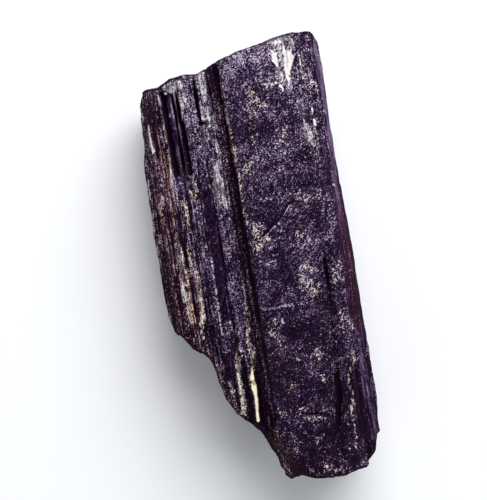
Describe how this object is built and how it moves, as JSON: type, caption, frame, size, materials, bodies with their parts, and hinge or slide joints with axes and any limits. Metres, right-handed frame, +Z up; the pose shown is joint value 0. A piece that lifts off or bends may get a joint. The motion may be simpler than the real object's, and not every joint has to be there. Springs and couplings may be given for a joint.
{
  "type": "tourmaline crystal",
  "caption": "Raw black tourmaline crystal, a striated prism broken at both ends, lying on a flat prism face.",
  "frame": {"origin": "under the middle of the crystal's box, on the surface it lies on", "axes": "+Y along the prism towards the square break, +Z up out of the broad front face, +X towards the bevelled side"},
  "size_m": [0.0252, 0.0576, 0.0152],
  "materials": {
    "schorl": "vitreous to dull, striated along the prism, with pale mineral films in the furrows"
  },
  "bodies": {
    "root": {"tourmaline_crystal": "schorl"}
  },
  "joints": []
}
